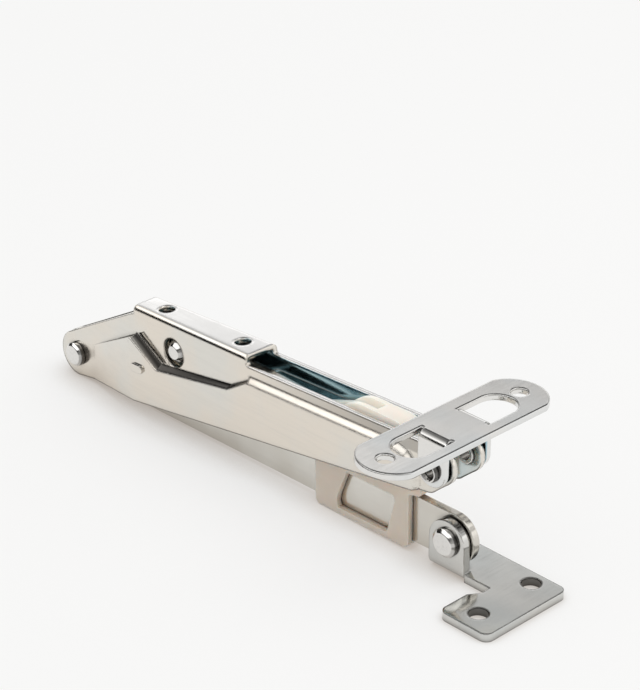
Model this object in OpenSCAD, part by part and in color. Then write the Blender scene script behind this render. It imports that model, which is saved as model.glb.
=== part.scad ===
// Ratchet lid support: a toothed arm and a pressed channel arm hinged at one end,
// held apart by a locking strut whose plastic slider rides on the toothed arm.
// Frame: X runs along the closed arms to the right, Y away from the front, Z up.
// Origin: middle of the two foot screws, on the underside of the foot plate.
// The model stands nearly closed, as it lies on a table.

/* [Rest position] */
// Slope of the toothed arm, its left end lower
arm_tilt = 0.93; // [0.5:0.01:0.96]
// Angle between the two arms
rest_fold = 1.9; // [1.6:0.05:3]
// Slope of the top plate, its right side higher
top_tilt = 0; // [-1:0.1:2]

/* [Foot plate] */
// Thickness of the foot plate
foot_t = 2.4; // [2:0.1:2.6]
// Distance between the two foot screws
foot_screw_pitch = 20; // [18:0.5:22]
// Diameter of the foot screw holes
foot_hole_d = 5.5; // [4:0.1:6]
// Right edge of the plate, measured from the screws
foot_right = 8.4; // [7:0.1:12]
// Left edge of the lobe that carries the near screw
lobe_left = 8.0; // [6:0.1:8.4]
// Near edge of the lobe
foot_near = 16.1; // [15:0.1:20]
// Far edge of the plate
foot_far = 14.6; // [13.5:0.1:18]
// Radius of the plate's corners
foot_corner_r = 2.4; // [1:0.1:3]
// Width of the relief slot between the ear and the lobe
relief_w = 2.9; // [2:0.1:4]
// Right end of the relief slot
relief_right = 5.8; // [4.5:0.1:6.5]

/* [Ear and foot pivot] */
// Foot pivot, left of the screws
foot_pivot_x = 20.8; // [20:0.1:24]
// Height of the foot pivot
foot_pivot_z = 9.8; // [9.75:0.05:11]
// Radius of the ear's round top, half of its width
ear_r = 6.15; // [5.5:0.05:6.4]
// Outer radius of the bend under the ear
ear_bend_r = 3.2; // [2.8:0.1:3.6]
// Gap between the ear and the toothed arm
ear_gap = 0.3; // [0.2:0.05:0.5]
// Diameter of the foot rivet's shank
foot_shank_d = 5; // [4:0.1:5.5]
// Diameter of the foot rivet's head at the ear
foot_head_d = 8.2; // [7:0.1:9]
// Diameter of the head's flat face
foot_face_d = 6.2; // [5.2:0.1:6.8]
// Height of the foot rivet's head
foot_head_h = 1.8; // [1.2:0.1:2.4]

/* [Toothed arm] */
// Distance between the foot pivot and the main pivot
arm_len = 151.8; // [148:0.1:155]
// Thickness of the toothed arm
arm_t = 2.4; // [2:0.1:2.6]
// Half of the height of the toothed arm
arm_half_h = 7.1; // [6.6:0.05:7.2]
// Distance between two teeth
tooth_pitch = 5.75; // [5.4:0.05:6]
// Number of notches
notch_count = 12; // [8:1:12]
// Notch nearest to the main pivot, measured from that pivot
first_notch = 40.55; // [38:0.05:46]
// Depth of a notch
notch_depth = 3.1; // [2.4:0.1:3.4]
// Radius of the bottom of a notch
notch_r = 1.7; // [1.3:0.1:1.9]
// Width of a notch at its mouth
notch_mouth = 4.3; // [3.6:0.1:4.6]

/* [Main pivot] */
// Diameter of the main rivet's shank
main_shank_d = 5; // [4:0.1:5.5]
// Diameter of the main rivet's head
main_head_d = 7.4; // [6.8:0.1:8.5]
// Diameter of the flat face of the main head
main_face_d = 5.8; // [4.8:0.1:6.4]
// Height of the main rivet's head
main_head_h = 2; // [1.4:0.1:2.4]
// Radius of the round end of the channel around the main rivet
cheek_r = 7; // [6.6:0.1:7.1]
// Gap between a cheek and the toothed arm
cheek_gap = 0.25; // [0.2:0.05:0.4]

/* [Channel arm] */
// Sheet thickness of the channel
wall_t = 1.6; // [1.4:0.1:1.8]
// Half of the width over the upper strip of the walls
upper_half = 5.9; // [5.7:0.1:6.1]
// Half of the width over the left end of the web
neck_half = 4.9; // [4.8:0.1:5.9]
// How far the lower part of a wall stands proud
step_out = 1.7; // [1.3:0.1:1.7]
// Height of the top edge of the walls over the main pivot
wall_top = 22.5; // [22:0.1:24]
// Height of the top face of the web over the main pivot
web_top = 25.4; // [25:0.1:26.5]
// Left end of the web
web_left = 30.4; // [29:0.1:32]
// Right end of the web
web_right = 79; // [76:0.5:82]
// Outer radius of the bends beside the web
web_bend_r = 1.9; // [1.7:0.1:2.4]
// First web screw from the main pivot
web_screw_x = 39.6; // [38:0.1:41]
// Distance between the two web screws
web_screw_pitch = 32; // [30:0.5:34]
// Diameter of the web screw holes
web_hole_d = 4.8; // [4:0.1:5.2]
// Slope of the bottom edge of the walls
wall_bottom_slope = 6.1; // [5.8:0.1:6.4]
// Radius of the hole that shows the strut's stud
peep_r = 4.35; // [4:0.05:4.6]
// Slope of the walls' top edge left of the web
wall_top_slope = 26.7; // [26:0.1:27.5]
// Start of the walls' lower right corner, back from the top pivot
wall_corner_back = 7; // [6:0.1:8]
// Radius of that corner
wall_corner_r = 4.6; // [4:0.1:5]
// End of the flat part of a wall around the main rivet
pad_end = 7.5; // [7.1:0.1:8.4]
// End of the ramp beside it, where the step begins
ramp_end = 31; // [30.6:0.1:33]

/* [Step in the channel's walls] */
// Height of the step where it begins
step_start_z = 16.1; // [15:0.1:17]
// Lowest corner of the step, along the channel
step_dip_x = 42; // [40:0.5:45]
// Height of that corner
step_dip_z = 9.6; // [9:0.1:11]
// Corner where the step turns steep, along the channel
step_rise_x = 72.5; // [70:0.5:75]
// Height of that corner
step_rise_z = 13.8; // [13:0.1:15]
// Start of the level stretch of the step
step_level_x = 80.5; // [79.5:0.5:84]
// Height of the level stretch
step_level_z = 18.2; // [17.5:0.1:18.6]
// Radius of the step's corner at the right end
step_corner_r = 7; // [5:0.5:8]
// Right end of the step, back from the top pivot
step_end_back = 8; // [7.5:0.1:9]

/* [Top pivot] */
// How much nearer the top pivot is to the main pivot than the foot pivot is
top_pivot_back = 0.8; // [0:0.1:3]
// Top pivot above the main pivot
top_pivot_z = 17.5; // [17:0.1:17.6]
// Radius of the right end of the walls
wall_end_r = 5.35; // [5:0.05:5.4]
// Outer diameter of the eyelets
eyelet_d = 5; // [4.4:0.1:5.4]
// Inner diameter of the eyelets
eyelet_bore_d = 3.6; // [3:0.1:3.9]
// Diameter of the eyelets' rolled rims
eyelet_rim_d = 6.1; // [5.8:0.1:7.2]
// Height of the eyelets' rims
eyelet_rim_h = 1.3; // [0.8:0.1:1.5]

/* [Top plate] */
// Length of the top plate
plate_len = 63.4; // [61:0.1:66]
// Width of the top plate
plate_w = 19.2; // [18.6:0.1:21]
// Thickness of the top plate
plate_t = 2; // [1.8:0.1:2.2]
// Height of the plate's top face over its pivot
plate_top = 9.9; // [9.7:0.1:11]
// Radius of the plate's round ends
plate_end_r = 10.2; // [9.8:0.1:12]
// Distance between the two top plate screws
plate_screw_pitch = 50; // [48:0.5:51]
// Diameter of the top plate screw holes
plate_hole_d = 4.6; // [4:0.1:5.2]
// Half of the distance over the lugs
lug_half = 8.8; // [8.7:0.1:9.2]
// Radius of a lug's round end, half of its width
lug_r = 4.8; // [4.4:0.1:5]
// Outer radius of the bend above a lug
lug_bend_r = 2.4; // [2.2:0.1:2.8]
// Half of the width of a window
window_half = 5.5; // [5.2:0.1:5.8]
// End of a window, measured from the middle of the plate
window_end = 21.2; // [20:0.1:21.5]

/* [Strut] */
// Strut stud along the channel, from the main pivot
stud_x = 47.5; // [46:0.1:48]
// Strut stud above the main pivot
stud_z = 16; // [15.5:0.1:16.2]
// Thickness of the strut
strut_t = 3; // [2.6:0.1:3]
// Half of the strut's height
strut_half_h = 6.3; // [5.6:0.1:6.4]
// Depth of the relief in the strut's lower edge
strut_relief = 2; // [1:0.1:2.4]
// Left end of that relief, measured from the slider pin
strut_relief_x = 31.5; // [26:0.5:34]
// Reach of the locking nose under the slider pin
nose_reach = 7.1; // [6.6:0.1:7.1]
// Diameter of the strut rivet's shank
stud_d = 4.6; // [4:0.1:5.5]
// Diameter of its shoulder on the far wall
shoulder_d = 8; // [7:0.1:9]
// Diameter of its head in the near wall's hole
stud_head_d = 6.8; // [6:0.1:7.2]
// Diameter of the flat face of that head
stud_face_d = 4; // [3.4:0.1:5]

/* [Slider] */
// Slider pin, left of the foot pivot with the arms closed
slider_pin_x = 34.92; // [34:0.02:38]
// Length of the slider on the arm
slider_len = 35; // [34:0.5:37]
// Slider pin, measured from the slider's left end
pin_s = 14.6; // [14:0.1:15.2]
// Slider pin above the middle of the toothed arm
pin_z = 14.6; // [14.5:0.1:14.8]
// Half of the slider's thickness
slider_half = 3.1; // [2.9:0.1:3.3]
// Bottom of the slider under the middle of the toothed arm
slider_bottom = 8.8; // [8.6:0.1:8.8]
// Top of the slider's hump
slider_top = 27.8; // [26.5:0.1:27.9]
// Top of the slider's left column
slider_left_top = 20.5; // [19:0.1:21.5]
// How far the hump overhangs the right column
slider_overhang = 4.5; // [3:0.1:5]
// Clearance between the slider and the toothed arm
slider_gap = 0.15; // [0.1:0.05:0.2]
// Outer diameter of the tubular slider pin
pin_d = 4.4; // [4:0.1:4.8]
// Bore of the tubular slider pin
pin_bore_d = 3; // [2.4:0.1:3.2]
// Depth of the pocket around the slider pin
pocket_depth = 0.7; // [0.4:0.1:0.8]

/* [Fits] */
// Radial clearance of the turning rivets
fit = 0.05; // [0.03:0.01:0.08]
// Clearance between the strut and the two halves of its rivet
open_gap = 0.3; // [0.3:0.05:0.5]

/* [Hidden] */

$fn = 64;

// Middle plane of the mechanism, measured from the foot screws
mid_y = 4;
steel = [0.80, 0.79, 0.76];
bright_steel = [0.86, 0.86, 0.85];
plastic = [0.93, 0.88, 0.85];
through = 60;

ear_far = -(arm_t / 2 + ear_gap);
ear_near = ear_far - foot_t;
pad_outer = arm_t / 2 + cheek_gap + wall_t;
lower_half = upper_half + step_out;
wall_inner = upper_half - wall_t;
top_pivot_x = arm_len - top_pivot_back;
wall_bottom_end = top_pivot_x - wall_corner_back;
step_end_x = top_pivot_x - step_end_back;
// Cuts run past the widest and the longest part of the walls
past_y = 3 * lower_half;
past_x = top_pivot_x + 3 * wall_end_r;
slider_left = -slider_pin_x - pin_s;

// Inner face of the upper strip of a wall, measured from the middle plane
function wall_in_at(x) =
    neck_half - wall_t + (upper_half - neck_half) * min(1, (x - ramp_end) / (web_right - ramp_end));

function stud_angle() = atan2(stud_z, stud_x) + rest_fold;
function stud_r() = norm([stud_x, stud_z]);
function stud_x_lower() = stud_r() * cos(stud_angle());
function stud_z_lower() = stud_r() * sin(stud_angle());
strut_len = norm([arm_len - slider_pin_x - stud_x_lower(), stud_z_lower() - pin_z]);
strut_angle = asin((stud_z_lower() - pin_z) / strut_len);

// Points of an arc around [cx, cz] from angle a0 to angle a1
function arc(cx, cz, r, a0, a1, n = 12) =
    [for (i = [0:n]) let (a = a0 + (a1 - a0) * i / n) [cx + r * cos(a), cz + r * sin(a)]];

// Side view drawn in X and Z, made t thick around y
module side(y, t) {
    translate([0, y + t / 2, 0]) rotate([90, 0, 0]) linear_extrude(t) children();
}

// Plan view drawn in X and Y, made tall enough to cut any side view
module plan() {
    translate([0, 0, -through]) linear_extrude(2 * through) children();
}

// Round bar along Y from y0 to y1
module bar(x, z, d, y0, y1) {
    translate([x, y1, z]) rotate([90, 0, 0]) cylinder(d = d, h = y1 - y0);
}

// Rivet head on a face at y, growing away from the part in direction dir,
// upright over the share side of its height and chamfered over the rest
module head(x, z, y, d, face_d, h, dir, side = 0.35) {
    translate([x, y, z]) rotate([-90 * dir, 0, 0]) union() {
        cylinder(d = d, h = side * h);
        translate([0, 0, side * h]) cylinder(d1 = d, d2 = face_d, h = (1 - side) * h);
    }
}

// Frames of the bodies in the rest position
module at_foot_pivot() {
    translate([-foot_pivot_x, mid_y, foot_pivot_z]) rotate([0, -arm_tilt, 0]) children();
}

module at_main_pivot() {
    at_foot_pivot() translate([-arm_len, 0, 0]) rotate([0, -rest_fold, 0]) children();
}

module at_top_pivot() {
    at_main_pivot() translate([top_pivot_x, 0, top_pivot_z])
        rotate([0, arm_tilt + rest_fold - top_tilt, 0]) children();
}

module at_slider() {
    at_foot_pivot() translate([slider_left, 0, 0]) children();
}

module at_slider_pin() {
    at_slider() translate([pin_s, 0, pin_z]) rotate([0, strut_angle, 0]) children();
}

// Foot plate: flat sheet with a lobe, a relief slot and an ear bent up
module foot_outline() {
    left = -(foot_pivot_x + ear_r);
    ear_right = -foot_pivot_x + ear_r;
    bend_line = mid_y + ear_near + ear_bend_r;
    slot_far = mid_y + ear_near + 0.5;
    slot_near = slot_far - relief_w;
    r = foot_corner_r;
    translate([left, bend_line]) square([foot_right - left, foot_far - r - bend_line]);
    translate([left + r, foot_far - r - 1]) square([foot_right - left - 2 * r, r + 1]);
    for (x = [left + r, foot_right - r]) translate([x, foot_far - r]) circle(r);
    translate([ear_right, slot_far]) square([foot_right - ear_right, foot_far - r - slot_far]);
    polygon([
        [-relief_right, slot_far + 1], [-relief_right, slot_near], [-lobe_left, slot_near - 3.4],
        [-lobe_left, -foot_near + r], [foot_right, -foot_near + r], [foot_right, slot_far + 1],
    ]);
    translate([-lobe_left + r, -foot_near]) square([foot_right + lobe_left - 2 * r, r + 1]);
    for (x = [-lobe_left + r, foot_right - r]) translate([x, -foot_near + r]) circle(r);
}

module foot_plate() {
    y0 = mid_y + ear_near;
    color(steel) difference() {
        union() {
            difference() {
                linear_extrude(foot_t) foot_outline();
                for (s = [-1, 1]) translate([0, s * foot_screw_pitch / 2, -1])
                    cylinder(d = foot_hole_d, h = foot_t + 2);
            }
            intersection() {
                translate([-foot_pivot_x - ear_r, y0 + ear_bend_r, ear_bend_r]) rotate([0, 90, 0])
                    difference() {
                        cylinder(r = ear_bend_r, h = 2 * ear_r);
                        translate([0, 0, -1]) cylinder(r = ear_bend_r - foot_t, h = 2 * ear_r + 2);
                    }
                translate([-foot_pivot_x - ear_r, y0, 0]) cube([2 * ear_r, ear_bend_r, ear_bend_r]);
            }
            translate([-foot_pivot_x - ear_r, y0, ear_bend_r])
                cube([2 * ear_r, foot_t, foot_pivot_z - ear_bend_r]);
            bar(-foot_pivot_x, foot_pivot_z, 2 * ear_r, y0, y0 + foot_t);
        }
        bar(-foot_pivot_x, foot_pivot_z, foot_shank_d, y0 - 1, y0 + foot_t + 1);
    }
}

// Rivet that holds the toothed arm on the ear
module foot_rivet() {
    color(bright_steel) translate([-foot_pivot_x, mid_y, foot_pivot_z]) union() {
        bar(0, 0, foot_shank_d, ear_near, arm_t / 2 + 0.1);
        head(0, 0, ear_near, foot_head_d, foot_face_d, foot_head_h, -1, 0.5);
        head(0, 0, arm_t / 2 + 0.1, foot_head_d, foot_face_d, foot_head_h, 1, 0.5);
    }
}

module notch() {
    translate([0, -notch_depth + notch_r]) circle(notch_r);
    polygon([
        [-notch_mouth / 2, 1], [-notch_mouth / 2, 0], [-notch_r, -notch_depth + notch_r],
        [notch_r, -notch_depth + notch_r], [notch_mouth / 2, 0], [notch_mouth / 2, 1],
    ]);
}

// Toothed arm: one flat bar with round ends and a row of notches on top
module toothed_arm() {
    color(steel) at_foot_pivot() difference() {
        side(0, arm_t) difference() {
            union() {
                translate([-arm_len, -arm_half_h]) square([arm_len, 2 * arm_half_h]);
                circle(arm_half_h);
                translate([-arm_len, 0]) circle(arm_half_h);
            }
            for (i = [0:notch_count - 1])
                translate([-arm_len + first_notch + i * tooth_pitch, arm_half_h]) notch();
        }
        bar(0, 0, foot_shank_d + 2 * fit, -arm_t, arm_t);
        bar(-arm_len, 0, main_shank_d + 2 * fit, -arm_t, arm_t);
    }
}

// Rivet that joins the channel and the toothed arm
module main_rivet() {
    color(bright_steel) at_main_pivot() union() {
        bar(0, 0, main_shank_d, -pad_outer, pad_outer);
        for (s = [-1, 1]) head(0, 0, s * pad_outer, main_head_d, main_face_d, main_head_h, s, 0.6);
    }
}

// Channel arm, side view of the whole wall
function bottom_z(x) = -cheek_r / cos(wall_bottom_slope) + x * tan(wall_bottom_slope);

module wall_outline() {
    inside = 0.05;
    end_r = wall_corner_r;
    end_x = wall_bottom_end + 0.6 * end_r;
    end_z = bottom_z(wall_bottom_end) + end_r + 0.3;
    rise = web_left * tan(wall_top_slope) + cheek_r / cos(wall_top_slope) - wall_top - 0.3;
    slope = wall_bottom_slope;
    apart = [top_pivot_x - end_x, top_pivot_z - end_z];
    lean = atan2(apart[1], apart[0]) - acos((end_r - wall_end_r) / norm(apart));
    circle(cheek_r);
    translate([top_pivot_x, top_pivot_z]) circle(wall_end_r);
    translate([end_x, end_z]) circle(end_r);
    polygon([
        [-(cheek_r - inside) * sin(wall_top_slope), (cheek_r - inside) * cos(wall_top_slope)],
        [web_left - rise / tan(wall_top_slope), wall_top + 0.3],
        [web_left, wall_top + 0.3], [web_left, web_top], [web_right, web_top],
        [web_right, wall_top + 0.6], [web_right + 0.6, wall_top], [top_pivot_x, wall_top],
        [top_pivot_x + (wall_end_r - inside) * cos(lean), top_pivot_z + (wall_end_r - inside) * sin(lean)],
        [end_x + (end_r - inside) * cos(lean), end_z + (end_r - inside) * sin(lean)],
        [end_x + (end_r - inside) * sin(slope), end_z - (end_r - inside) * cos(slope)],
        [(cheek_r - inside) * sin(slope), -(cheek_r - inside) * cos(slope)],
    ]);
}

// Line between the upper strip and the proud lower part of a wall:
// x, z and how steep the sloped band is from there on
step_line = concat(
    [[ramp_end, step_start_z, 0.47], [step_dip_x, step_dip_z, 0.53], [step_rise_x, step_rise_z, 0.47]],
    [[step_level_x, step_level_z, 1.06], [step_end_x - step_corner_r, step_level_z, 0.88]],
    [for (a = [60, 30, 0]) [
        step_end_x - step_corner_r * (1 - cos(a)),
        step_level_z - step_corner_r * (1 - sin(a)),
        0.65 + a / 340,
    ]],
    [[step_end_x, -0.85 * cheek_r, 0.6]]
);

function unit(v) = v / norm(v);
function step_normal(i) = let (a = step_line[i], b = step_line[i + 1]) unit([a[1] - b[1], b[0] - a[0]]);
function step_mitre(i) =
    i == 0 ? step_normal(0) :
    i == len(step_line) - 1 ? step_normal(i - 1) :
    let (m = unit(step_normal(i - 1) + step_normal(i))) m / (m * step_normal(i));
function valley(i) = i > 0 && i < len(step_line) - 1 && cross(step_normal(i - 1), step_normal(i)) > 0;
function step_at(i, out, along) =
    [step_line[i][0], step_line[i][1]] + out * step_mitre(i)
    + (valley(i) || i == 0 ? along : 0.06) * unit([step_mitre(i)[1], -step_mitre(i)[0]]);

module lower_region(grow = 0) {
    polygon(concat(
        [[-1.5 * cheek_r, -1.7 * cheek_r], [-1.5 * cheek_r, -0.6 * cheek_r], [pad_end + 1.1, 5 + grow]],
        [for (p = step_line) [p[0], p[1] + (p[0] <= ramp_end ? grow : 0)]],
        [[step_end_x, -1.7 * cheek_r]]
    ));
}

// Plan view of one wall, near side, for its half widths at the web's two ends
module wall_plan(half_left, half_right) {
    polygon([
        [-2 * cheek_r, -pad_outer], [pad_end, -pad_outer], [ramp_end, -half_left],
        [web_right, -half_right], [past_x, -half_right],
        [past_x, -half_right + wall_t], [web_right, -half_right + wall_t],
        [ramp_end + 0.4, -half_left + wall_t],
        [pad_end + 0.4, -pad_outer + wall_t], [-2 * cheek_r, -pad_outer + wall_t],
    ]);
}

// Sloped band along one stretch of the step line, mitred with its neighbours
module step_band(i) {
    a = step_line[i];
    b = step_line[i + 1];
    run = norm([b[0] - a[0], b[1] - a[1]]);
    reach = lower_half - neck_half + 0.3;
    rise = a[2] * reach;
    intersection() {
        translate([a[0], 0, a[1]]) rotate([0, -atan2(b[1] - a[1], b[0] - a[0]), 0])
            translate([-5, 0, 0]) rotate([90, 0, 90]) linear_extrude(run + 10) polygon([
                [-lower_half + 0.05, -1.4], [-lower_half + 0.05, -0.1], [-lower_half + reach, rise],
                [-lower_half + reach, rise - 1.1], [-lower_half + wall_t / 2, -1.4],
            ]);
        side(0, 2 * past_y) polygon([
            step_at(i, -1.9, -0.3), step_at(i, 5, -0.3), step_at(i + 1, 5, 0.3), step_at(i + 1, -1.9, 0.3),
        ]);
    }
}

module near_wall() {
    intersection() {
        side(0, 2 * past_y) wall_outline();
        union() {
            difference() {
                plan() wall_plan(neck_half, upper_half);
                side(0, 2 * past_y) lower_region();
            }
            intersection() {
                plan() wall_plan(lower_half, lower_half);
                side(0, 2 * past_y) lower_region(0.5);
            }
            intersection() {
                union() {
                    for (i = [0:len(step_line) - 2]) step_band(i);
                }
                plan() polygon([
                    [ramp_end - 0.6, -lower_half], [past_x, -lower_half], [past_x, -wall_inner],
                    [web_right, -wall_inner], [ramp_end - 0.6, -neck_half + wall_t],
                ]);
            }
        }
    }
}

// Raised slot beside the step, one on each wall
module wall_boss() {
    for (x = [32.4, 35.2]) bar(x, 7.7, 2.3, -lower_half - 0.7, -lower_half + 0.2);
    translate([32.4, -lower_half - 0.7, 7.7 - 1.15]) cube([2.8, 0.9, 2.3]);
}

// Flat of the web, reaching into both walls
module web() {
    translate([0, 0, web_top - wall_t]) linear_extrude(wall_t) polygon([
        [web_left, -neck_half + wall_t / 2], [web_right, -upper_half + wall_t / 2],
        [web_right, upper_half - wall_t / 2], [web_left, neck_half - wall_t / 2],
    ]);
}

// What a bend beside the web leaves away at its outer corner
module bend_cut() {
    swing = atan2(upper_half - neck_half, web_right - ramp_end);
    past = 5 * wall_t;
    translate([ramp_end, -neck_half, web_top]) rotate([0, 0, -swing]) translate([-past, 0, 0])
        rotate([90, 0, 90]) linear_extrude(web_right - ramp_end + 2 * past) difference() {
            translate([-2, -web_bend_r]) square([web_bend_r + 2, web_bend_r + 2]);
            translate([web_bend_r, -web_bend_r]) circle(web_bend_r + 0.02);
        }
}

module channel_arm() {
    color(steel) at_main_pivot() difference() {
        union() {
            for (m = [0, 1]) mirror([0, m, 0]) {
                near_wall();
                wall_boss();
            }
            web();
        }
        for (m = [0, 1]) mirror([0, m, 0]) bend_cut();
        bar(0, 0, main_shank_d, -past_y, past_y);
        bar(stud_x, stud_z, 2 * peep_r, -past_y, -1);
        bar(stud_x, stud_z, stud_d, 0, past_y);
        bar(top_pivot_x, top_pivot_z, eyelet_d, -past_y, past_y);
        for (i = [0, 1]) translate([web_screw_x + i * web_screw_pitch, 0, web_top - 2 * wall_t])
            cylinder(d = web_hole_d, h = 4 * wall_t);
    }
}

// Rivet of the strut: shoulder and head in the far wall, face in the near wall's hole
module strut_rivet() {
    y0 = strut_t / 2 + open_gap;
    seat_in = wall_in_at(stud_x - shoulder_d / 2) - 0.02;
    seat_out = wall_in_at(stud_x + main_head_d / 2) + wall_t + 0.05;
    color(bright_steel) at_main_pivot() translate([stud_x, 0, stud_z]) union() {
        bar(0, 0, shoulder_d, y0, seat_in);
        bar(0, 0, stud_d, y0, seat_out + 0.1);
        head(0, 0, seat_out, main_head_d, main_face_d, 1.2, 1);
        bar(0, 0, stud_d, -wall_in_at(stud_x) + 0.4, -y0);
        head(0, 0, -wall_in_at(stud_x) + 0.4, stud_head_d, stud_face_d, wall_t + 0.5, -1);
    }
}

// Strut: flat locking bar with round ends, a relief and a nose under its pin
module strut_outline() {
    difference() {
        union() {
            translate([-strut_len, -strut_half_h]) square([strut_len, 2 * strut_half_h]);
            circle(strut_half_h);
            translate([-strut_len, 0]) circle(strut_half_h);
            translate([0, -nose_reach + 1.8]) circle(1.8);
        }
        polygon([
            [-strut_relief_x, -strut_half_h - 1], [-strut_relief_x, -strut_half_h + 1.2],
            [-strut_relief_x + 1.2, -strut_half_h + strut_relief],
            [-strut_relief_x + 4, -strut_half_h + strut_relief],
            [-8, -strut_half_h], [-8, -strut_half_h - 1],
        ]);
    }
}

module strut() {
    color(steel) at_slider_pin() difference() {
        side(0, strut_t) strut_outline();
        bar(0, 0, pin_d + 2 * fit, -strut_t, strut_t);
        bar(-strut_len, 0, stud_d + 2 * fit, -strut_t, strut_t);
    }
}

// Slider: moulded housing around the toothed arm and the end of the strut
module slider_outline() {
    right = slider_len + slider_overhang;
    polygon(concat(
        [[1.2, -slider_bottom], [0, -slider_bottom + 1.2], [0, slider_left_top]],
        arc(18.5, slider_top - 12, 12, 138, 90, 8),
        arc(right - 10, slider_top - 10, 10, 90, 0, 10),
        [[right, 9.4], [right - 0.8, 8.6], [slider_len + 0.6, 8], [slider_len, 7.4]],
        [[slider_len, -slider_bottom + 1.2], [slider_len - 1.2, -slider_bottom]]
    ));
}

module lower_window() {
    polygon([
        [12, 5.2], [10.4, 1.5], [8.5, -3.4], [8.2, -5.4], [8.6, -7],
        [26.8, -7], [27.4, -6], [30, 3.6], [29.6, 5.2],
    ]);
}

module pocket() {
    polygon(concat([[10.2, 10.4], [10, 11.4], [10, 19]], arc(pin_s, pin_z, 6, 60, -60, 12)));
}

module slider_body() {
    strut_room = strut_half_h + 1.4;
    color(plastic) at_slider() difference() {
        side(0, 2 * slider_half) slider_outline();
        translate([-1, -arm_t / 2 - slider_gap, -arm_half_h - slider_gap])
            cube([slider_len + slider_overhang + 2, arm_t + 2 * slider_gap, 2 * (arm_half_h + slider_gap)]);
        translate([-1, -strut_t / 2 - slider_gap, arm_half_h - 0.2])
            cube([pin_s + strut_room + 1, strut_t + 2 * slider_gap, 40]);
        side(0, 4 * slider_half) lower_window();
        for (s = [-1, 1]) side(s * (slider_half - pocket_depth / 2 + 0.5), pocket_depth + 1) pocket();
        bar(pin_s, pin_z, pin_d, -slider_half - 1, slider_half + 1);
    }
}

// Tubular pin that joins the slider and the strut
module slider_pin() {
    reach = slider_half - pocket_depth + 0.3;
    color(bright_steel) at_slider() difference() {
        bar(pin_s, pin_z, pin_d, -reach, reach);
        bar(pin_s, pin_z, pin_bore_d, -reach - 1, reach + 1);
    }
}

// Top plate with round ends, two windows and two lugs bent down
module plate_outline() {
    intersection() {
        union() {
            square([plate_w, plate_len - 2 * plate_end_r], center = true);
            for (s = [-1, 1]) translate([0, s * (plate_len / 2 - plate_end_r)]) circle(plate_end_r);
        }
        square([plate_w, plate_len + 2], center = true);
    }
}

module top_plate() {
    plate_shift = -0.4;
    bend_start = lug_half - lug_bend_r;
    color(steel) at_top_pivot() difference() {
        union() {
            difference() {
                translate([plate_shift, 0, plate_top - plate_t]) linear_extrude(plate_t) plate_outline();
                for (s = [-1, 1]) {
                    straight = window_end - bend_start - 2 * window_half;
                    translate([0, s * (bend_start + window_end) / 2, plate_top])
                        cube([2 * window_half, straight, 10], center = true);
                    window_start = s > 0 ? bend_start : -window_end + window_half;
                    translate([-window_half, window_start, plate_top - 5])
                        cube([2 * window_half, window_end - window_half - bend_start, 10]);
                    translate([0, s * (window_end - window_half), plate_top - 5])
                        cylinder(r = window_half, h = 10);
                    translate([plate_shift, s * plate_screw_pitch / 2, plate_top - 5])
                        cylinder(d = plate_hole_d, h = 10);
                }
            }
            for (m = [0, 1]) mirror([0, m, 0]) lug();
        }
        bar(0, 0, eyelet_d + 2 * fit, -20, 20);
    }
}

module lug() {
    bend_z = plate_top - lug_bend_r;
    bend_y = -lug_half + lug_bend_r;
    intersection() {
        translate([-lug_r, bend_y, bend_z]) rotate([0, 90, 0]) difference() {
            cylinder(r = lug_bend_r, h = 2 * lug_r);
            translate([0, 0, -1]) cylinder(r = lug_bend_r - plate_t, h = 2 * lug_r + 2);
        }
        translate([-lug_r, -lug_half, bend_z]) cube([2 * lug_r, lug_bend_r, lug_bend_r]);
    }
    translate([-lug_r, bend_y - 0.01, plate_top - plate_t]) cube([2 * lug_r, 0.2, plate_t]);
    translate([-lug_r, -lug_half, 0]) cube([2 * lug_r, plate_t, bend_z]);
    bar(0, 0, 2 * lug_r, -lug_half, -lug_half + plate_t);
}

// Rolled eyelet that joins one lug and one wall of the channel
module eyelet(dir) {
    inner = wall_inner;
    mirror([0, dir > 0 ? 1 : 0, 0]) difference() {
        union() {
            bar(0, 0, eyelet_d, -lug_half - 0.05, -inner);
            head(0, 0, -lug_half - 0.05, eyelet_rim_d, eyelet_rim_d - 0.7, eyelet_rim_h, -1, 0.5);
            head(0, 0, -inner, eyelet_rim_d, eyelet_rim_d - 0.7, 0.6, 1, 0.5);
        }
        bar(0, 0, eyelet_bore_d, -20, 20);
        translate([0, -lug_half - 0.05 - eyelet_rim_h - 0.01, 0]) rotate([-90, 0, 0])
            cylinder(d1 = eyelet_rim_d - 1.3, d2 = eyelet_bore_d, h = 1.2);
    }
}

module eyelet_near() {
    color(bright_steel) at_main_pivot() translate([top_pivot_x, 0, top_pivot_z]) eyelet(-1);
}

module eyelet_far() {
    color(bright_steel) at_main_pivot() translate([top_pivot_x, 0, top_pivot_z]) eyelet(1);
}

foot_plate();
foot_rivet();
toothed_arm();
main_rivet();
channel_arm();
strut_rivet();
strut();
slider_body();
slider_pin();
top_plate();
eyelet_near();
eyelet_far();
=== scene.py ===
"""Ratchet lid support: plated sheet steel and one milky plastic slider, nearly closed, on white."""

import math

import bpy
from mathutils import Matrix, Vector

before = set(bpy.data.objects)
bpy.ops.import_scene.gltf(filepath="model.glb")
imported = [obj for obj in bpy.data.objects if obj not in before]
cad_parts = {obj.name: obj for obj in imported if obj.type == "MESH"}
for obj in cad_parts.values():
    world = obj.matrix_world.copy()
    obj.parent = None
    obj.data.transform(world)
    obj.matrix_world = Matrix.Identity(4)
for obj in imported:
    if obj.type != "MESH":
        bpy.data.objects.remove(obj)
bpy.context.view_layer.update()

MM = 0.001

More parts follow.
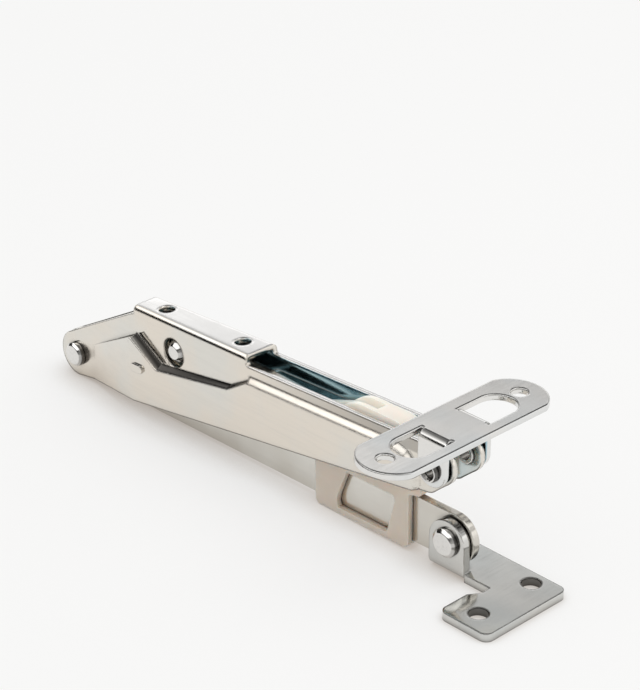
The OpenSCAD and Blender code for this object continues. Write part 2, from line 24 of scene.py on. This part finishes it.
# Camera, solved from the edges and holes in the photograph
PHOTO_WIDTH = 640
FOCAL_PX = 2419.3
AZIMUTH = 45.752
ELEVATION = 27.329
ROLL = 0.254
DISTANCE = 615.8 * MM
AIM_RIGHT = -47.0 * MM
AIM_UP = 66.5 * MM
SENSOR = 36.0
NEAREST = 10 * MM

# Edges: radius in mm left by shearing, heading or moulding, by node
EDGE_RADIUS = {
    "foot_plate": 0.42,
    "foot_rivet": 0.16,
    "toothed_arm": 0.25,
    "main_rivet": 0.16,
    "channel_arm": 0.05,
    "strut_rivet": 0.15,
    "strut": 0.3,
    "slider_body": 0.5,
    "slider_pin": 0.1,
    "top_plate": 0.45,
    "eyelet_near": 0.12,
    "eyelet_far": 0.12,
}
CLAMPED = ("foot_plate", "slider_body", "channel_arm")
EDGE_ANGLE = math.radians(28)
FLAT_ANGLE = math.radians(0.4)
WELD_REACH = 0.002
SHADER_SAMPLES = 8

# Plating: neutral on the plates, warm on the channel and the arm as painted reflection of the warm
# table, deep blue inside the channel as painted reflection
WARM = (0.77, 0.71, 0.63, 1)
WARM_PALE = (0.73, 0.71, 0.66, 1)
# Paler colour on the channel's upward faces: painted highlight
WEB_PALE = (0.80, 0.79, 0.775, 1)
# Darker than the channel: painted shade of the channel above the toothed arm; the strut shares it
ARM = (0.66, 0.63, 0.575, 1)
TOP_PLATE = (0.79, 0.775, 0.75, 1)
TOP_PLATE_COOL = (0.74, 0.75, 0.745, 1)
FOOT_PLATE = (0.64, 0.632, 0.605, 1)
FOOT_PLATE_COOL = (0.585, 0.595, 0.58, 1)
# Painted reflection: the deep blue that the inner faces of the channel and the lugs show
INNER_BLUE = (0.38, 0.55, 0.62, 1)
RIVET = (0.78, 0.765, 0.74, 1)
HANDLED = (0.50, 0.49, 0.47, 1)
# Painted shade on edges that round over towards the table
EDGE_SHADE = (0.12, 0.10, 0.085, 1)
SHADE = (0.05, 0.046, 0.042, 1)
# Painted shade in holes and corners
CREVICE_SHADE = (0.03, 0.03, 0.03, 1)

# Slider: unpigmented plastic, with painted light of the channel's walls glowing on its hump
MILKY = (0.87, 0.72, 0.615, 1)
MILKY_DEEP = (0.82, 0.675, 0.57, 1)
WALL_LIGHT = (0.74, 0.96, 1.0, 1)
WALL_LIGHT_SHARE = 0.2
HUMP_START = 26.0
HUMP_FULL = 32.0

# Grain of the rolled sheet: how much the noise is stretched on each axis
ALONG_X = (0.06, 1, 1)
ALONG_Y = (1, 0.06, 1)

# Places on the closed part, in mm from the frame's origin
MID_Y = 4.0
INNER_START = -134.0
INNER_END = -8.0
INNER_FADE = 30.0
CHANNEL_TOP = 50.0
LUG_END = 10.0
LUG_TOP = 40.0
FOOT_HOLES = ((0, -10, 0), (0, 10, 0))
HOLE_REACH = 3.2
BOSS = (-139.2, 0.0, 16.8)
BOSS_REACH = 3.2
BOSS_EDGE = 0.2

# Pressed step of the channel: painted shade on its slopes, and on the dished strip above its long run
STEP_X = (-142.0, -100.0)
STEP_Z = (18.0, 29.0)
STEP_LEAN = (0.4, 0.58)
STEP_SHARE = 0.94
STRIP_X = (-92.0, -44.0)
STRIP_FALL = 0.045
STRIP_FOOT = (34.3, 34.8)
STRIP_SHARE = 0.42

# Table and studio, as levels of white
TABLE = (0.90, 0.905, 0.90, 1)
TABLE_GLOW = (0.95, 0.945, 0.938, 1)
# Warm painted contact shadow on the table beside the parts
PAINTED_CONTACT_SHADOW = (0.56, 0.50, 0.445, 1)
TABLE_GLOW_SHARE = 0.68
REFLECTED_LESS = 0.15
# Reach of the painted contact shadow, in mm
CONTACT_REACH = 13.0
TABLE_HALF = 1.6
RIGHT_WALL = (0.55, 0.55, 0.54, 1)
CEILING = (0.38, 0.38, 0.375, 1)
BACKDROP = (0.94, 0.94, 0.94, 1)
ROOM_LIGHT = (0.88, 0.88, 0.88, 1)
FRONT_LEVELS = (
    (0.0, 0.01), (0.4, 0.012), (0.47, 0.04), (0.52, 1.7), (0.74, 1.7), (0.84, 0.15), (1.0, 0.08),
)
BACK_LEVELS = (
    (0.0, 0.95), (0.34, 1.35), (0.375, 1.35), (0.395, 0.8), (0.43, 0.6), (0.46, 0.42), (0.505, 1.0),
    (0.545, 0.75), (0.6, 0.25), (0.66, 0.05), (1.0, 0.08),
)
LAMP_PLACE = (0.45, 0.35, 1.0)
LAMP_AIM = (-0.08, 0.0, 0.02)
LAMP_SIZE = 0.9
LAMP_WATTS = 3.0


def node(tree, kind, inputs=None, **settings):
    """A new node. In inputs, a socket is linked and any other value is set."""
    made = tree.nodes.new(kind)
    for name, value in settings.items():
        setattr(made, name, value)
    for name, value in (inputs or {}).items():
        if isinstance(value, bpy.types.NodeSocket):
            tree.links.new(value, made.inputs[name])
        else:
            made.inputs[name].default_value = value
    return made


def new_material(name):
    """An empty material with its output node."""
    material = bpy.data.materials.new(name)
    material.use_nodes = True
    tree = material.node_tree
    tree.nodes.clear()
    return material, tree, tree.nodes.new("ShaderNodeOutputMaterial")


def calc(tree, operation, *values):
    """One Math node over the values."""
    return node(tree, "ShaderNodeMath", dict(enumerate(values)), operation=operation).outputs[0]


def product(tree, *parts):
    """All the parts multiplied."""
    found = parts[0]
    for part in parts[1:]:
        found = calc(tree, "MULTIPLY", found, part)
    return found


def ramp(tree, value, low, high, start=0.0, end=1.0):
    """value from low..high onto start..end, clamped."""
    made = node(
        tree, "ShaderNodeMapRange",
        {"Value": value, "From Min": low, "From Max": high, "To Min": start, "To Max": end},
    )
    return made.outputs["Result"]


def between(tree, value, low, high, fade):
    """1 from low to high, falling to 0 over fade on both sides."""
    return product(tree, ramp(tree, value, low - fade, low), ramp(tree, value, high + fade, high))


def split(tree, vector):
    """A vector's X, Y and Z."""
    return node(tree, "ShaderNodeSeparateXYZ", {"Vector": vector}).outputs


def place_of(tree):
    """X, Y and Z of the point in the piece's own frame, in metres."""
    return split(tree, node(tree, "ShaderNodeTexCoord").outputs["Object"])


def facing_of(tree):
    """X, Y and Z of the surface's normal in the piece's own frame."""
    return split(tree, node(tree, "ShaderNodeTexCoord").outputs["Normal"])


def millimetres(tree, stretch=(1, 1, 1)):
    """Coordinates in the piece's own millimetres, stretched to make grain."""
    coords = node(tree, "ShaderNodeTexCoord")
    scale = tuple(1000 * s for s in stretch)
    mapped = node(tree, "ShaderNodeMapping", {"Vector": coords.outputs["Object"], "Scale": scale})
    return mapped.outputs["Vector"]


def noise(tree, where, scale, detail=3.0, roughness=0.55):
    """Value noise with its scale per millimetre."""
    made = node(
        tree, "ShaderNodeTexNoise",
        {"Vector": where, "Scale": scale, "Detail": detail, "Roughness": roughness},
    )
    return made.outputs["Fac"]


def bump(tree, height, distance, strength=1.0, under=None):
    """A bump of that height in millimetres, over another one where given."""
    inputs = {"Height": height, "Distance": distance * MM, "Strength": strength}
    if under is not None:
        inputs["Normal"] = under
    return node(tree, "ShaderNodeBump", inputs).outputs["Normal"]


def rounded_edges(tree, radius):
    """The surface's normal with its edges shaded as round."""
    return node(tree, "ShaderNodeBevel", {"Radius": radius}, samples=SHADER_SAMPLES).outputs["Normal"]


def open_sky(tree, reach):
    """How much of the surroundings within reach, in mm, a point sees: 1 in the open."""
    seen = node(tree, "ShaderNodeAmbientOcclusion", {"Distance": reach * MM}, samples=SHADER_SAMPLES)
    return seen.outputs["AO"]


def mix_colour(tree, factor, a, b):
    """Colour a where factor is 0 and b where it is 1."""
    made = node(tree, "ShaderNodeMix", {0: factor, 6: a, 7: b}, data_type="RGBA")
    return made.outputs[2]


# Every use mixes in painted shade
def paint_shade(tree, colour, found, share, other):
    """colour with a share of the other one where found is 1."""
    return mix_colour(tree, ramp(tree, found, 0, 1, 0.0, share), colour, other)


def inner_faces(tree, right_end, top):
    """1 on faces that look towards the middle plane, left of right_end and under top, 0 elsewhere."""
    place = place_of(tree)
    side = calc(tree, "SUBTRACT", place["Y"], MID_Y * MM)
    inward = calc(tree, "MULTIPLY", side, facing_of(tree)["Y"])
    return product(
        tree,
        ramp(tree, inward, -1.2 * MM, -2.6 * MM),
        ramp(tree, place["X"], right_end * MM, (right_end - INNER_FADE) * MM),
        ramp(tree, place["X"], (INNER_START - 4) * MM, INNER_START * MM),
        ramp(tree, place["Z"], top * MM, (top - 0.6) * MM),
    )


def upper_faces(tree):
    """1 on faces of the piece that look up as it lies closed, 0 elsewhere."""
    return ramp(tree, facing_of(tree)["Z"], 0.9, 0.99)


def rounded_under(tree, rounded):
    """1 where an edge rounds over towards the table, 0 on plain faces and on the other edges."""
    face = node(tree, "ShaderNodeNewGeometry").outputs["Normal"]
    agree = node(tree, "ShaderNodeVectorMath", {0: face, 1: rounded}, operation="DOT_PRODUCT")
    edge = ramp(tree, agree.outputs["Value"], 0.97, 0.8)
    return product(tree, edge, ramp(tree, split(tree, rounded)["Z"], -0.1, -0.4))


def edge_lip(tree, rounded):
    """1 in the band where a flat upper face begins to round over, 0 elsewhere: where shade is painted
    along the lip.
    """
    up = split(tree, rounded)["Z"]
    return product(tree, ramp(tree, up, 0.992, 0.93), ramp(tree, up, 0.62, 0.78))


def away_from(tree, line, across, reach, fade=0.8):
    """0 within reach of a line through a point, 1 from fade further on. across is 0 along the line."""
    coords = node(tree, "ShaderNodeTexCoord")
    flat = node(
        tree, "ShaderNodeVectorMath", {0: coords.outputs["Object"], 1: across}, operation="MULTIPLY",
    )
    centre = tuple(c * MM for c in line)
    far = node(tree, "ShaderNodeVectorMath", {0: flat.outputs[0], 1: centre}, operation="DISTANCE")
    return ramp(tree, far.outputs["Value"], reach * MM, (reach + fade) * MM)


def hole_walls(tree, centres):
    """1 on the upright walls of round holes at these centres, 0 elsewhere: where shade is painted."""
    outside = product(tree, *(away_from(tree, c, (1, 1, 0), HOLE_REACH, 0.1) for c in centres))
    upright = ramp(tree, facing_of(tree)["Z"], 0.6, 0.2)
    return product(tree, upright, ramp(tree, outside, 0, 1, 1.0, 0.0))


def pressed_slopes(tree):
    """1 on the slopes of the pressed step under the strut rivet, 0 elsewhere: where shade is painted."""
    place, facing = place_of(tree), facing_of(tree)
    return product(
        tree,
        between(tree, calc(tree, "ABSOLUTE", facing["Y"]), *STEP_LEAN, 0.1),
        ramp(tree, facing["X"], -0.35, -0.22),
        between(tree, place["X"], STEP_X[0] * MM, STEP_X[1] * MM, 2 * MM),
        between(tree, place["Z"], STEP_Z[0] * MM, STEP_Z[1] * MM, 1 * MM),
    )


def dished_strip(tree):
    """0 to 1 along the strip above the step's long run, on faces that look sideways: where shade is
    painted.
    """
    place = place_of(tree)
    above = calc(tree, "ADD", place["Z"], calc(tree, "MULTIPLY", place["X"], -STRIP_FALL))
    return product(
        tree,
        ramp(tree, calc(tree, "ABSOLUTE", facing_of(tree)["Y"]), 0.85, 0.95),
        ramp(tree, above, STRIP_FOOT[0] * MM, STRIP_FOOT[1] * MM),
        ramp(tree, place["X"], STRIP_X[0] * MM, STRIP_X[1] * MM),
    )


def painted_crevice_shade(tree, colour, reach, darkest, wide):
    """colour with painted shade where the surface lies in a hole or a corner."""
    lost = ramp(tree, open_sky(tree, reach), 0.15, wide, 1 - darkest, 0.0)
    return mix_colour(tree, lost, colour, CREVICE_SHADE)


def painted_plate_shading(
    tree, colour, edges, inside=None, inner_ends=(0, 0), above=None, lip=0.0, holes=(), pressed=False,
):
    """colour with painted light and shade on a plated sheet. inside is a painted reflection on the inner
    faces up to inner_ends, and above a painted highlight on the faces that look up. lip paints shade at
    the start of the rounding, holes are centres of round holes with painted shade on their walls, and
    pressed paints shade on the channel's step. Holes, corners and edges that round towards the table
    always get painted shade."""
    # Painted shade on the dished strip and on the slopes of the step
    if pressed:
        colour = paint_shade(tree, colour, dished_strip(tree), STRIP_SHARE, SHADE)
        colour = paint_shade(tree, colour, pressed_slopes(tree), STEP_SHARE, SHADE)
    # Painted reflection: the inner faces take the deep blue
    if inside is not None:
        colour = mix_colour(tree, inner_faces(tree, *inner_ends), colour, inside)
    # Painted highlight: faces that look up take the paler colour
    if above is not None:
        colour = mix_colour(tree, upper_faces(tree), colour, above)
    # Painted shade in holes and corners
    colour = painted_crevice_shade(tree, colour, 2.4, 0.12, 0.8)
    # Painted shade where an edge rounds over towards the table
    colour = mix_colour(tree, rounded_under(tree, edges), colour, EDGE_SHADE)
    # Painted shade where the upper face begins to round over
    if lip:
        colour = paint_shade(tree, colour, edge_lip(tree, edges), lip, SHADE)
    # Painted shade on the walls of the holes
    if holes:
        colour = paint_shade(tree, colour, hole_walls(tree, holes), 0.8, SHADE)
    return colour


def metal(tree, out, colour, rough, normal):
    """A metal surface on the material's output."""
    surface = node(
        tree, "ShaderNodeBsdfPrincipled",
        {"Base Color": colour, "Metallic": 1.0, "Roughness": rough, "Normal": normal},
    )
    tree.links.new(surface.outputs[0], out.inputs["Surface"])


def plated_steel(name, base, tint, rough, soft, grain, wave=0.01, **marks):
    """Bright plate over rolled sheet with grain, its edges shaded as soft mm round."""
    material, tree, out = new_material(name)
    plain = millimetres(tree)
    along = millimetres(tree, grain)
    boss = away_from(tree, BOSS, (1, 0, 1), BOSS_REACH)
    edges = rounded_edges(tree, ramp(tree, boss, 0, 1, min(soft, BOSS_EDGE) * MM, soft * MM))

    # Cloudy colour of the plate, and its wiped marks
    clouds = ramp(tree, noise(tree, plain, 0.05, 2), 0.42, 0.66)
    wiped = ramp(tree, noise(tree, along, 0.9, 4, 0.65), 0.45, 0.8, 0.0, 0.14)
    colour = mix_colour(tree, wiped, mix_colour(tree, clouds, base, tint), HANDLED)
    # Painted reflection, highlight and shade from the keyword arguments
    colour = painted_plate_shading(tree, colour, edges, **marks)

    streaks = noise(tree, along, 1.3, 5, 0.7)
    streak_rough = ramp(tree, streaks, 0.3, 0.7, rough - 0.03, rough + 0.05)
    patch_rough = ramp(tree, noise(tree, plain, 0.16, 3), 0.35, 0.7, -0.02, 0.04)

    rolled = bump(tree, noise(tree, plain, 0.06, 1), wave * 8, 0.3, edges)
    rolled = bump(tree, streaks, wave * 0.05, 0.4, rolled)
    pitted = bump(tree, noise(tree, plain, 4, 1), wave * 0.05, 0.3, rolled)
    metal(tree, out, colour, calc(tree, "ADD", streak_rough, patch_rough), pitted)
    return material


def turned_steel(name, base, rough):
    """Plated rivet steel with small dents and handling marks, with painted shade on its sides to the
    right and in its corners.
    """
    material, tree, out = new_material(name)
    plain = millimetres(tree)
    marks = ramp(tree, noise(tree, plain, 1.1, 4, 0.7), 0.5, 0.72, 0.0, 0.3)
    colour = painted_crevice_shade(tree, mix_colour(tree, marks, base, HANDLED), 1.8, 0.05, 0.95)
    # Painted shade on the sides that face right
    facing = facing_of(tree)
    right = ramp(tree, facing["X"], 0.35, 0.7)
    sides = ramp(tree, calc(tree, "ABSOLUTE", facing["Y"]), 0.85, 0.6, 0.0, 0.85)
    colour = mix_colour(tree, product(tree, right, sides), colour, SHADE)
    spread = ramp(tree, noise(tree, plain, 2.2, 3), 0.3, 0.7, rough - 0.04, rough + 0.08)
    dents = bump(tree, noise(tree, plain, 0.7, 2), 0.05, 0.4, rounded_edges(tree, 0.14 * MM))
    dents = bump(tree, noise(tree, plain, 5, 2), 0.002, 0.5, dents)
    metal(tree, out, colour, spread, dents)
    return material


def milky_plastic(name, base, deep):
    """Unpigmented moulded plastic: light goes into it and comes out soft and warm.
    Its hump also glows with painted light in the colour of the bright channel walls, in place of the
    light they throw onto it."""
    material, tree, out = new_material(name)
    plain = millimetres(tree)
    clouds = ramp(tree, noise(tree, plain, 0.12, 2), 0.35, 0.7)
    # Painted light: the hump's glow rises with height
    hump = ramp(tree, place_of(tree)["Z"], HUMP_START * MM, HUMP_FULL * MM, 0.0, WALL_LIGHT_SHARE)
    skin = bump(tree, noise(tree, plain, 1.4, 3), 0.02, 0.25)
    skin = bump(tree, noise(tree, plain, 0.2, 1), 0.12, 0.3, skin)
    surface = node(
        tree, "ShaderNodeBsdfPrincipled",
        {
            "Base Color": mix_colour(tree, clouds, base, deep),
            "Roughness": ramp(tree, noise(tree, plain, 0.8, 3), 0.3, 0.7, 0.30, 0.42),
            "Normal": skin, "IOR": 1.49, "Transmission Weight": 0.2,
            "Subsurface Weight": 0.85, "Subsurface Radius": (1.0, 0.72, 0.55),
            "Subsurface Scale": 4.0 * MM,
            "Emission Color": WALL_LIGHT, "Emission Strength": hump,
        },
    )
    tree.links.new(surface.outputs[0], out.inputs["Surface"])
    return material


def ease_edges(obj, radius):
    """Rounds the sheared edges with modifiers, over the CAD mesh as it is."""
    weld = obj.modifiers.new("weld", "WELD")
    weld.merge_threshold = WELD_REACH * MM
    flats = obj.modifiers.new("flats", "DECIMATE")
    flats.decimate_type = "DISSOLVE"
    flats.angle_limit = FLAT_ANGLE
    round_off = obj.modifiers.new("edges", "BEVEL")
    round_off.width = radius * MM
    round_off.segments = 3
    round_off.limit_method = "ANGLE"
    round_off.angle_limit = EDGE_ANGLE
    round_off.use_clamp_overlap = obj.name in CLAMPED
    shade = obj.modifiers.new("normals", "WEIGHTED_NORMAL")
    shade.mode = "FACE_AREA"
    shade.weight = 80


def dress():
    """Gives every CAD node its finish and its edges. A node without one of its own is a rivet."""
    arm = plated_steel("arm_sheet", ARM, WARM_PALE, rough=0.16, soft=0.4, grain=ALONG_X)
    channel = plated_steel(
        "channel_sheet", WARM, WARM_PALE, rough=0.11, soft=1.3, grain=ALONG_X,
        inside=INNER_BLUE, inner_ends=(INNER_END, CHANNEL_TOP), above=WEB_PALE, pressed=True,
    )
    top = plated_steel(
        "top_plate_sheet", TOP_PLATE, TOP_PLATE_COOL, rough=0.11, soft=0.6, grain=ALONG_Y, wave=0.008,
        inside=INNER_BLUE, inner_ends=(LUG_END, LUG_TOP), lip=0.6,
    )
    foot = plated_steel(
        "foot_sheet", FOOT_PLATE, FOOT_PLATE_COOL, rough=0.09, soft=0.7, grain=ALONG_Y, wave=0.012,
        lip=0.85, holes=FOOT_HOLES,
    )
    rivet = turned_steel("rivet_plated", RIVET, 0.12)
    finish = {
        "foot_plate": foot, "top_plate": top, "toothed_arm": arm, "strut": arm,
        "channel_arm": channel, "slider_body": milky_plastic("slider_milky", MILKY, MILKY_DEEP),
    }
    for name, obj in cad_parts.items():
        for slot in obj.material_slots:
            slot.material = finish.get(name, rivet)
        ease_edges(obj, EDGE_RADIUS[name])


def glow_rays(tree):
    """1 for rays from the camera, a reflection or a see-through piece, 0 for diffuse light."""
    path = node(tree, "ShaderNodeLightPath").outputs
    first = calc(tree, "MAXIMUM", path["Is Camera Ray"], path["Is Glossy Ray"])
    return calc(tree, "MAXIMUM", first, path["Is Transmission Ray"])


def camera_ray(tree):
    """1 for rays from the camera, 0 for others."""
    return node(tree, "ShaderNodeLightPath").outputs["Is Camera Ray"]


def table_white():
    """Part of the table's white is its own, so that the shadows stay as light as in a light tent.
    Reflections see a little less of it. Near the parts that own white turns into a warm painted contact
    shadow."""
    material, tree, out = new_material("table_white")
    lit = node(tree, "ShaderNodeBsdfDiffuse", {"Color": TABLE})
    # Painted contact shadow: the table's own white darkens where parts are close
    near = ramp(tree, open_sky(tree, CONTACT_REACH), 0.3, 0.9, 1.0, 0.0)
    tone = mix_colour(tree, near, TABLE_GLOW, PAINTED_CONTACT_SHADOW)
    glow = node(tree, "ShaderNodeEmission", {"Color": tone, "Strength": 1.0})
    seen = calc(tree, "MULTIPLY", camera_ray(tree), REFLECTED_LESS)
    weight = calc(tree, "ADD", seen, TABLE_GLOW_SHARE - REFLECTED_LESS)
    share = product(tree, glow_rays(tree), weight)
    both = node(tree, "ShaderNodeMixShader", {0: share, 1: lit.outputs[0], 2: glow.outputs[0]})
    tree.links.new(both.outputs[0], out.inputs["Surface"])
    return material


def make_floor():
    """The white table top."""
    mesh = bpy.data.meshes.new("table_top")
    corners = [(x * TABLE_HALF, y * TABLE_HALF, 0) for x, y in ((-1, -1), (1, -1), (1, 1), (-1, 1))]
    mesh.from_pydata(corners, [], [(0, 1, 2, 3)])
    mesh.materials.append(table_white())
    floor = bpy.data.objects.new("table_top", mesh)
    bpy.context.scene.collection.objects.link(floor)


def level_ramp(tree, value, stops):
    """A grey ramp over value, from (position, level) pairs."""
    bands = node(tree, "ShaderNodeValToRGB", {"Fac": value})
    elements = bands.color_ramp.elements
    for position, level in stops[1:-1]:
        elements.new(position).color = (level, level, level, 1)
    for stop, (_, level) in ((elements[0], stops[0]), (elements[-1], stops[-1])):
        stop.color = (level, level, level, 1)
    return bands.outputs["Color"]


def make_world():
    """A light tent: open and dark in front by the horizon, grey on the right and overhead, and a
    white sweep behind. The camera sees plain white."""
    world = bpy.data.worlds.new("studio")
    bpy.context.scene.world = world
    world.use_nodes = True
    tree = world.node_tree
    tree.nodes.clear()
    out = tree.nodes.new("ShaderNodeOutputWorld")
    way = split(tree, node(tree, "ShaderNodeTexCoord").outputs["Generated"])
    beside = ramp(tree, way["X"], 0.3, 0.6)
    front = mix_colour(tree, beside, level_ramp(tree, way["Z"], FRONT_LEVELS), RIGHT_WALL)
    behind = level_ramp(tree, way["Z"], BACK_LEVELS)
    around = mix_colour(tree, ramp(tree, way["Y"], -0.1, 0.35), front, behind)
    room = mix_colour(tree, ramp(tree, way["Z"], 0.88, 0.96), around, CEILING)
    shown, even, white = (
        node(tree, "ShaderNodeBackground", {"Color": c}).outputs[0] for c in (room, ROOM_LIGHT, BACKDROP)
    )
    lit = node(tree, "ShaderNodeMixShader", {0: glow_rays(tree), 1: even, 2: shown})
    both = node(tree, "ShaderNodeMixShader", {0: camera_ray(tree), 1: lit.outputs[0], 2: white})
    tree.links.new(both.outputs[0], out.inputs["Surface"])


def make_lights():
    """One large box overhead and to the right, which throws the soft shadow to the left and front."""
    lamp = bpy.data.lights.new("overhead", "AREA")
    lamp.shape = "RECTANGLE"
    lamp.size = lamp.size_y = LAMP_SIZE
    lamp.energy = LAMP_WATTS
    box = bpy.data.objects.new("overhead", lamp)
    box.location = LAMP_PLACE
    look = Vector(LAMP_AIM) - Vector(LAMP_PLACE)
    box.rotation_euler = look.to_track_quat("-Z", "Y").to_euler()
    bpy.context.scene.collection.objects.link(box)


def make_camera():
    """The photograph's camera, from its azimuth, elevation and roll."""
    az, el, roll = (math.radians(a) for a in (AZIMUTH, ELEVATION, ROLL))
    away = Vector((math.sin(az) * math.cos(el), -math.cos(az) * math.cos(el), math.sin(el)))
    level = Vector((math.cos(az), math.sin(az), 0))
    rise = away.cross(level)
    right = level * math.cos(roll) + rise * math.sin(roll)
    up = rise * math.cos(roll) - level * math.sin(roll)
    place = right * AIM_RIGHT + up * AIM_UP + away * DISTANCE
    data = bpy.data.cameras.new("photo_camera")
    data.sensor_fit = "HORIZONTAL"
    data.sensor_width = SENSOR
    data.lens = FOCAL_PX / PHOTO_WIDTH * SENSOR
    data.clip_start = NEAREST
    camera = bpy.data.objects.new("photo_camera", data)
    turn = Matrix((right, up, away)).transposed().to_4x4()
    camera.matrix_world = Matrix.Translation(place) @ turn
    bpy.context.scene.collection.objects.link(camera)
    bpy.context.scene.camera = camera


make_camera()
dress()
make_floor()
make_world()
make_lights()
bpy.context.scene.view_settings.view_transform = "Standard"

bpy.context.view_layer.update()
